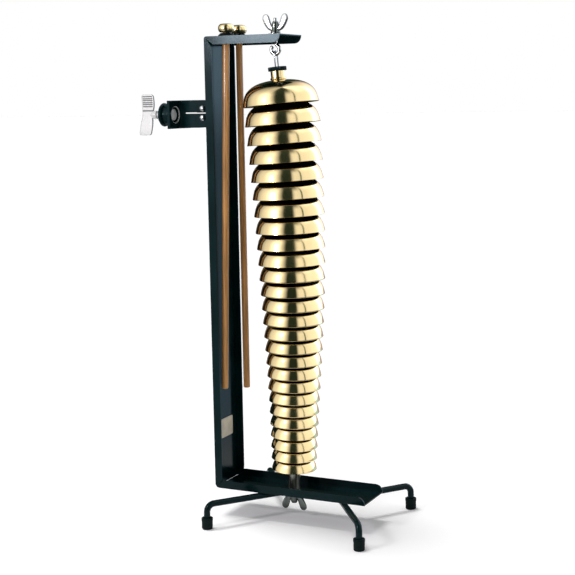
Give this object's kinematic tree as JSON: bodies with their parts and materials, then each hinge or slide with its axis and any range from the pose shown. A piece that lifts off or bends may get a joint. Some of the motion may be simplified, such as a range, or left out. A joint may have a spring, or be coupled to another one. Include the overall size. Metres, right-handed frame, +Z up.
{
  "type": "bell tree",
  "caption": "Bell tree of nested brass bells on a bowed rod in a black channel stand, with two mallets, four feet and a stand clamp.",
  "frame": {"origin": "centre of the bounding box's bottom, on the floor under the bells", "axes": "+Z up along the column, +X from the clamp past the column towards the free ends of the arms, +Y across the channel, away from the side seen first in the picture"},
  "size_m": [0.4262, 0.2324, 0.7845],
  "materials": {
    "black_paint": "semi-gloss black enamel",
    "black_rubber": "moulded black rubber",
    "polished_brass": "polished and lacquered",
    "chrome": "bright chrome plate",
    "zinc_steel": "bright zinc plated steel",
    "maple": "lacquered hardwood dowel"
  },
  "bodies": {
    "stand": {"stand_frame": "black_paint", "leg_rod_left": "black_paint", "leg_rod_right": "black_paint", "foot_left_near": "black_rubber", "foot_left_far": "black_rubber", "foot_right_near": "black_rubber", "foot_right_far": "black_rubber", "grommet_near": "black_rubber", "grommet_far": "black_rubber", "hook_bolt": "chrome", "bail": "chrome", "rod_cap": "black_paint", "brass_ferrule": "polished_brass", "bell_rod": "zinc_steel", "post_tube": "zinc_steel", "top_washer": "chrome", "bottom_washer": "black_paint", "clamp_bracket": "black_paint", "clamp_bolt_upper": "chrome", "clamp_bolt_lower": "chrome", "clamp_boss": "black_paint"},
    "bell_01": {"bell_01": "polished_brass"},
    "bell_02": {"bell_02": "polished_brass"},
    "bell_03": {"bell_03": "polished_brass"},
    "bell_04": {"bell_04": "polished_brass"},
    "bell_05": {"bell_05": "polished_brass"},
    "bell_06": {"bell_06": "polished_brass"},
    "bell_07": {"bell_07": "polished_brass"},
    "bell_08": {"bell_08": "polished_brass"},
    "bell_09": {"bell_09": "polished_brass"},
    "bell_10": {"bell_10": "polished_brass"},
    "bell_11": {"bell_11": "polished_brass"},
    "bell_12": {"bell_12": "polished_brass"},
    "bell_13": {"bell_13": "polished_brass"},
    "bell_14": {"bell_14": "polished_brass"},
    "bell_15": {"bell_15": "polished_brass"},
    "bell_16": {"bell_16": "polished_brass"},
    "bell_17": {"bell_17": "polished_brass"},
    "bell_18": {"bell_18": "polished_brass"},
    "bell_19": {"bell_19": "polished_brass"},
    "bell_20": {"bell_20": "polished_brass"},
    "bell_21": {"bell_21": "polished_brass"},
    "bell_22": {"bell_22": "polished_brass"},
    "bell_23": {"bell_23": "polished_brass"},
    "bell_24": {"bell_24": "polished_brass"},
    "bell_25": {"bell_25": "polished_brass"},
    "bell_26": {"bell_26": "polished_brass"},
    "top_wing_nut": {"top_wing_nut": "chrome"},
    "bottom_wing_nut": {"bottom_wing_nut": "chrome"},
    "mallet_near": {"mallet_shaft_near": "maple", "mallet_head_near": "polished_brass"},
    "mallet_far": {"mallet_shaft_far": "maple", "mallet_head_far": "polished_brass"},
    "clamp_pad": {"clamp_pad": "chrome"},
    "clamp_wing": {"clamp_wing": "chrome"}
  },
  "joints": [
    {"name": "bell_01_turn", "type": "hinge", "parent": "stand", "child": "bell_01", "pos_m": [0.03399, 0, 0.68514], "axis": [-0.0917, 0, 0.9958], "continuous": true},
    {"name": "bell_02_turn", "type": "hinge", "parent": "stand", "child": "bell_02", "pos_m": [0.03696, 0, 0.6552], "axis": [-0.082, 0, 0.9966], "continuous": true},
    {"name": "bell_03_turn", "type": "hinge", "parent": "stand", "child": "bell_03", "pos_m": [0.03957, 0, 0.62594], "axis": [-0.073, 0, 0.9973], "continuous": true},
    {"name": "bell_04_turn", "type": "hinge", "parent": "stand", "child": "bell_04", "pos_m": [0.04185, 0, 0.59734], "axis": [-0.0645, 0, 0.9979], "continuous": true},
    {"name": "bell_05_turn", "type": "hinge", "parent": "stand", "child": "bell_05", "pos_m": [0.04383, 0, 0.56942], "axis": [-0.0565, 0, 0.9984], "continuous": true},
    {"name": "bell_06_turn", "type": "hinge", "parent": "stand", "child": "bell_06", "pos_m": [0.04555, 0, 0.54215], "axis": [-0.049, 0, 0.9988], "continuous": true},
    {"name": "bell_07_turn", "type": "hinge", "parent": "stand", "child": "bell_07", "pos_m": [0.04701, 0, 0.51552], "axis": [-0.042, 0, 0.9991], "continuous": true},
    {"name": "bell_08_turn", "type": "hinge", "parent": "stand", "child": "bell_08", "pos_m": [0.04825, 0, 0.48953], "axis": [-0.0355, 0, 0.9994], "continuous": true},
    {"name": "bell_09_turn", "type": "hinge", "parent": "stand", "child": "bell_09", "pos_m": [0.04929, 0, 0.46415], "axis": [-0.0294, 0, 0.9996], "continuous": true},
    {"name": "bell_10_turn", "type": "hinge", "parent": "stand", "child": "bell_10", "pos_m": [0.05015, 0, 0.43937], "axis": [-0.0237, 0, 0.9997], "continuous": true},
    {"name": "bell_11_turn", "type": "hinge", "parent": "stand", "child": "bell_11", "pos_m": [0.05085, 0, 0.41516], "axis": [-0.0184, 0, 0.9998], "continuous": true},
    {"name": "bell_12_turn", "type": "hinge", "parent": "stand", "child": "bell_12", "pos_m": [0.05139, 0, 0.39153], "axis": [-0.0135, 0, 0.9999], "continuous": true},
    {"name": "bell_13_turn", "type": "hinge", "parent": "stand", "child": "bell_13", "pos_m": [0.05181, 0, 0.36843], "axis": [-0.0089, 0, 1], "continuous": true},
    {"name": "bell_14_turn", "type": "hinge", "parent": "stand", "child": "bell_14", "pos_m": [0.0521, 0, 0.34586], "axis": [-0.0046, 0, 1], "continuous": true},
    {"name": "bell_15_turn", "type": "hinge", "parent": "stand", "child": "bell_15", "pos_m": [0.0523, 0, 0.32379], "axis": [-0.0007, 0, 1], "continuous": true},
    {"name": "bell_16_turn", "type": "hinge", "parent": "stand", "child": "bell_16", "pos_m": [0.05239, 0, 0.30221], "axis": [0.003, 0, 1], "continuous": true},
    {"name": "bell_17_turn", "type": "hinge", "parent": "stand", "child": "bell_17", "pos_m": [0.0524, 0, 0.28109], "axis": [0.0064, 0, 1], "continuous": true},
    {"name": "bell_18_turn", "type": "hinge", "parent": "stand", "child": "bell_18", "pos_m": [0.05234, 0, 0.2604], "axis": [0.0096, 0, 1], "continuous": true},
    {"name": "bell_19_turn", "type": "hinge", "parent": "stand", "child": "bell_19", "pos_m": [0.05221, 0, 0.24011], "axis": [0.0125, 0, 0.9999], "continuous": true},
    {"name": "bell_20_turn", "type": "hinge", "parent": "stand", "child": "bell_20", "pos_m": [0.05201, 0, 0.22021], "axis": [0.0152, 0, 0.9999], "continuous": true},
    {"name": "bell_21_turn", "type": "hinge", "parent": "stand", "child": "bell_21", "pos_m": [0.05177, 0, 0.20067], "axis": [0.0177, 0, 0.9998], "continuous": true},
    {"name": "bell_22_turn", "type": "hinge", "parent": "stand", "child": "bell_22", "pos_m": [0.05148, 0, 0.18143], "axis": [0.02, 0, 0.9998], "continuous": true},
    {"name": "bell_23_turn", "type": "hinge", "parent": "stand", "child": "bell_23", "pos_m": [0.05114, 0, 0.16248], "axis": [0.0221, 0, 0.9998], "continuous": true},
    {"name": "bell_24_turn", "type": "hinge", "parent": "stand", "child": "bell_24", "pos_m": [0.05077, 0, 0.14376], "axis": [0.024, 0, 0.9997], "continuous": true},
    {"name": "bell_25_turn", "type": "hinge", "parent": "stand", "child": "bell_25", "pos_m": [0.05036, 0, 0.12523], "axis": [0.0258, 0, 0.9997], "continuous": true},
    {"name": "bell_26_turn", "type": "hinge", "parent": "stand", "child": "bell_26", "pos_m": [0.04991, 0, 0.10679], "axis": [0.0274, 0, 0.9996], "continuous": true},
    {"name": "top_nut_turn", "type": "hinge", "parent": "stand", "child": "top_wing_nut", "pos_m": [0.0307, 0, 0.75945], "axis": [0, 0, 1], "continuous": true},
    {"name": "bottom_nut_turn", "type": "hinge", "parent": "stand", "child": "bottom_wing_nut", "pos_m": [0.0482, 0, 0.03715], "axis": [0, 0, 1], "continuous": true},
    {"name": "mallet_near_lift", "type": "slide", "parent": "stand", "child": "mallet_near", "axis": [0.0314, 0, 0.9995], "range_m": [0, 0.57]},
    {"name": "mallet_far_lift", "type": "slide", "parent": "stand", "child": "mallet_far", "axis": [0, 0, 1], "range_m": [0, 0.57]},
    {"name": "clamp_pad_slide", "type": "slide", "parent": "stand", "child": "clamp_pad", "axis": [1, 0, 0], "range_m": [0, 0.0102]},
    {"name": "clamp_wing_turn", "type": "hinge", "parent": "clamp_pad", "child": "clamp_wing", "pos_m": [-0.1538, 0, 0.6346], "axis": [1, 0, 0], "range_deg": [0, 2448]}
  ],
  "couplings": [
    {"joint": "clamp_wing_turn", "follows": "clamp_pad_slide", "rad_per_m": 4188.8}
  ]
}
